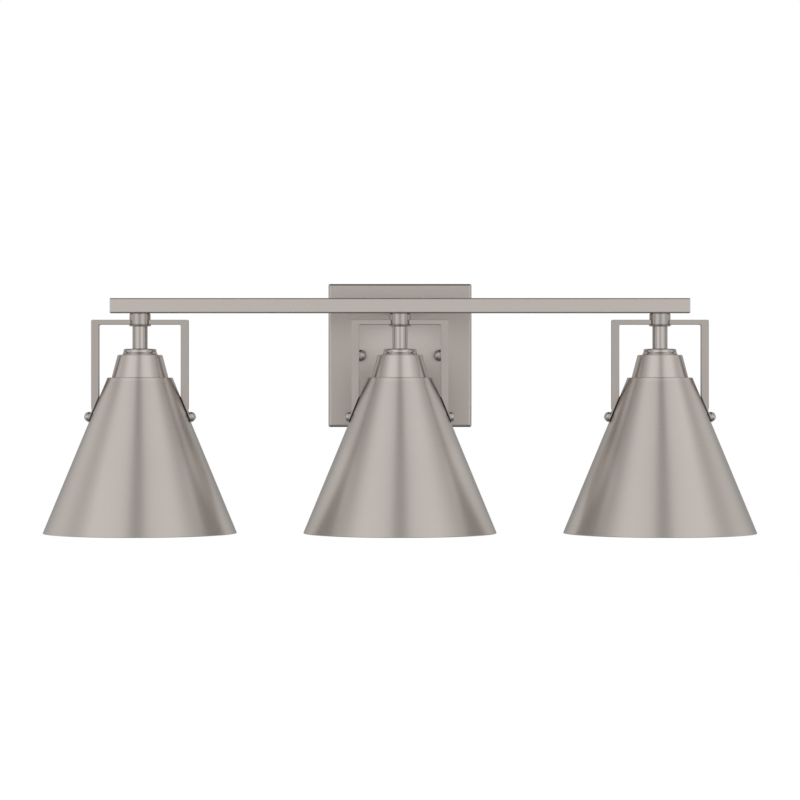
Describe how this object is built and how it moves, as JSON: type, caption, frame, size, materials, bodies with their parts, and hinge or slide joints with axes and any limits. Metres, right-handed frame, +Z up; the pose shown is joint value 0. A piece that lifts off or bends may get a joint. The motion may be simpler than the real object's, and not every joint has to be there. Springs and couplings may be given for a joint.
{
  "type": "vanity light bar",
  "caption": "Wall-mounted vanity light bar: square tube bar on a square backplate, with downward cone shades on stems, each braced by a flat harp, with screw-in bulbs.",
  "frame": {"origin": "centre of the square backplate on the wall plane", "axes": "+X to the viewer's right along the bar, +Y into the wall, +Z up"},
  "size_m": [0.6096, 0.1945, 0.2169],
  "materials": {
    "brushed_nickel": "satin brushed nickel plate",
    "zinc_steel": "zinc plated",
    "brass": "bright brass",
    "bulb_aluminium": "rolled aluminium",
    "porcelain": "glazed",
    "phenolic": "moulded, satin",
    "frosted_glass": "inside frosted",
    "black_glass": "black glass insulator",
    "wire_insulation": "extruded insulation",
    "connector_plastic": "moulded",
    "green_steel": "green dyed zinc plate",
    "bare_copper": "bare copper wire"
  },
  "bodies": {
    "fixture": {"backplate": "brushed_nickel", "wall_strap": "zinc_steel", "stud_left": "zinc_steel", "stud_right": "zinc_steel", "support_arm": "brushed_nickel", "arm_lock_nut": "zinc_steel", "light_bar": "brushed_nickel", "wiring_loom": "wire_insulation", "wire_connector_hot": "connector_plastic", "wire_connector_neutral": "connector_plastic", "ground_screw": "green_steel", "ground_lead": "bare_copper", "collar_left": "brushed_nickel", "harp_left": "brushed_nickel", "stem_left": "brushed_nickel", "check_ring_left": "brushed_nickel", "socket_cup_left": "brushed_nickel", "shade_left": "brushed_nickel", "socket_body_left": "porcelain", "socket_shell_left": "brass", "socket_contact_left": "brass", "collar_center": "brushed_nickel", "harp_center": "brushed_nickel", "stem_center": "brushed_nickel", "check_ring_center": "brushed_nickel", "socket_cup_center": "brushed_nickel", "shade_center": "brushed_nickel", "socket_body_center": "porcelain", "socket_shell_center": "brass", "socket_contact_center": "brass", "collar_right": "brushed_nickel", "harp_right": "brushed_nickel", "stem_right": "brushed_nickel", "check_ring_right": "brushed_nickel", "socket_cup_right": "brushed_nickel", "shade_right": "brushed_nickel", "socket_body_right": "porcelain", "socket_shell_right": "brass", "socket_contact_right": "brass"},
    "cap_nut_left": {"cap_nut_left": "brushed_nickel"},
    "cap_nut_right": {"cap_nut_right": "brushed_nickel"},
    "shade_ring_left": {"shade_ring_left": "phenolic"},
    "bulb_carrier_left": {"bulb_tip_left": "black_glass"},
    "bulb_left": {"bulb_base_left": "bulb_aluminium", "bulb_glass_left": "frosted_glass"},
    "harp_screw_left_1": {"harp_screw_left_1": "brushed_nickel"},
    "harp_screw_left_2": {"harp_screw_left_2": "brushed_nickel"},
    "shade_ring_center": {"shade_ring_center": "phenolic"},
    "bulb_carrier_center": {"bulb_tip_center": "black_glass"},
    "bulb_center": {"bulb_base_center": "bulb_aluminium", "bulb_glass_center": "frosted_glass"},
    "harp_screw_center_1": {"harp_screw_center_1": "brushed_nickel"},
    "harp_screw_center_2": {"harp_screw_center_2": "brushed_nickel"},
    "shade_ring_right": {"shade_ring_right": "phenolic"},
    "bulb_carrier_right": {"bulb_tip_right": "black_glass"},
    "bulb_right": {"bulb_base_right": "bulb_aluminium", "bulb_glass_right": "frosted_glass"},
    "harp_screw_right_1": {"harp_screw_right_1": "brushed_nickel"},
    "harp_screw_right_2": {"harp_screw_right_2": "brushed_nickel"}
  },
  "joints": [
    {"name": "cap_nut_left_turn", "type": "hinge", "parent": "fixture", "child": "cap_nut_left", "pos_m": [-0.03492, -0.0223, 0], "axis": [0, -1, 0], "range_deg": [0, 360]},
    {"name": "cap_nut_right_turn", "type": "hinge", "parent": "fixture", "child": "cap_nut_right", "pos_m": [0.03492, -0.0223, 0], "axis": [0, -1, 0], "range_deg": [0, 360]},
    {"name": "shade_ring_left_turn", "type": "hinge", "parent": "fixture", "child": "shade_ring_left", "pos_m": [-0.22225, -0.112, -0.025], "axis": [0, 0, -1], "range_deg": [0, 360]},
    {"name": "bulb_left_travel", "type": "slide", "parent": "fixture", "child": "bulb_carrier_left", "axis": [0, 0, -1], "range_m": [0, 0.0182]},
    {"name": "bulb_left_turn", "type": "hinge", "parent": "bulb_carrier_left", "child": "bulb_left", "pos_m": [-0.22225, -0.112, -0.06], "axis": [0, 0, -1], "range_deg": [0, 1800]},
    {"name": "harp_screw_left_1_turn", "type": "hinge", "parent": "fixture", "child": "harp_screw_left_1", "pos_m": [-0.26405, -0.112, -0.0546], "axis": [-0.9245, 0, 0.3813], "range_deg": [0, 360]},
    {"name": "harp_screw_left_2_turn", "type": "hinge", "parent": "fixture", "child": "harp_screw_left_2", "pos_m": [-0.18045, -0.112, -0.0546], "axis": [0.9245, 0, 0.3813], "range_deg": [0, 360]},
    {"name": "shade_ring_center_turn", "type": "hinge", "parent": "fixture", "child": "shade_ring_center", "pos_m": [0, -0.112, -0.025], "axis": [0, 0, -1], "range_deg": [0, 360]},
    {"name": "bulb_center_travel", "type": "slide", "parent": "fixture", "child": "bulb_carrier_center", "axis": [0, 0, -1], "range_m": [0, 0.0182]},
    {"name": "bulb_center_turn", "type": "hinge", "parent": "bulb_carrier_center", "child": "bulb_center", "pos_m": [0, -0.112, -0.06], "axis": [0, 0, -1], "range_deg": [0, 1800]},
    {"name": "harp_screw_center_1_turn", "type": "hinge", "parent": "fixture", "child": "harp_screw_center_1", "pos_m": [-0.0418, -0.112, -0.0546], "axis": [-0.9245, 0, 0.3813], "range_deg": [0, 360]},
    {"name": "harp_screw_center_2_turn", "type": "hinge", "parent": "fixture", "child": "harp_screw_center_2", "pos_m": [0.0418, -0.112, -0.0546], "axis": [0.9245, 0, 0.3813], "range_deg": [0, 360]},
    {"name": "shade_ring_right_turn", "type": "hinge", "parent": "fixture", "child": "shade_ring_right", "pos_m": [0.22225, -0.112, -0.025], "axis": [0, 0, -1], "range_deg": [0, 360]},
    {"name": "bulb_right_travel", "type": "slide", "parent": "fixture", "child": "bulb_carrier_right", "axis": [0, 0, -1], "range_m": [0, 0.0182]},
    {"name": "bulb_right_turn", "type": "hinge", "parent": "bulb_carrier_right", "child": "bulb_right", "pos_m": [0.22225, -0.112, -0.06], "axis": [0, 0, -1], "range_deg": [0, 1800]},
    {"name": "harp_screw_right_1_turn", "type": "hinge", "parent": "fixture", "child": "harp_screw_right_1", "pos_m": [0.18045, -0.112, -0.0546], "axis": [-0.9245, 0, 0.3813], "range_deg": [0, 360]},
    {"name": "harp_screw_right_2_turn", "type": "hinge", "parent": "fixture", "child": "harp_screw_right_2", "pos_m": [0.26405, -0.112, -0.0546], "axis": [0.9245, 0, 0.3813], "range_deg": [0, 360]}
  ],
  "couplings": [
    {"joint": "bulb_left_travel", "follows": "bulb_left_turn", "m_per_rad": 0.00057757},
    {"joint": "bulb_center_travel", "follows": "bulb_center_turn", "m_per_rad": 0.00057757},
    {"joint": "bulb_right_travel", "follows": "bulb_right_turn", "m_per_rad": 0.00057757}
  ]
}
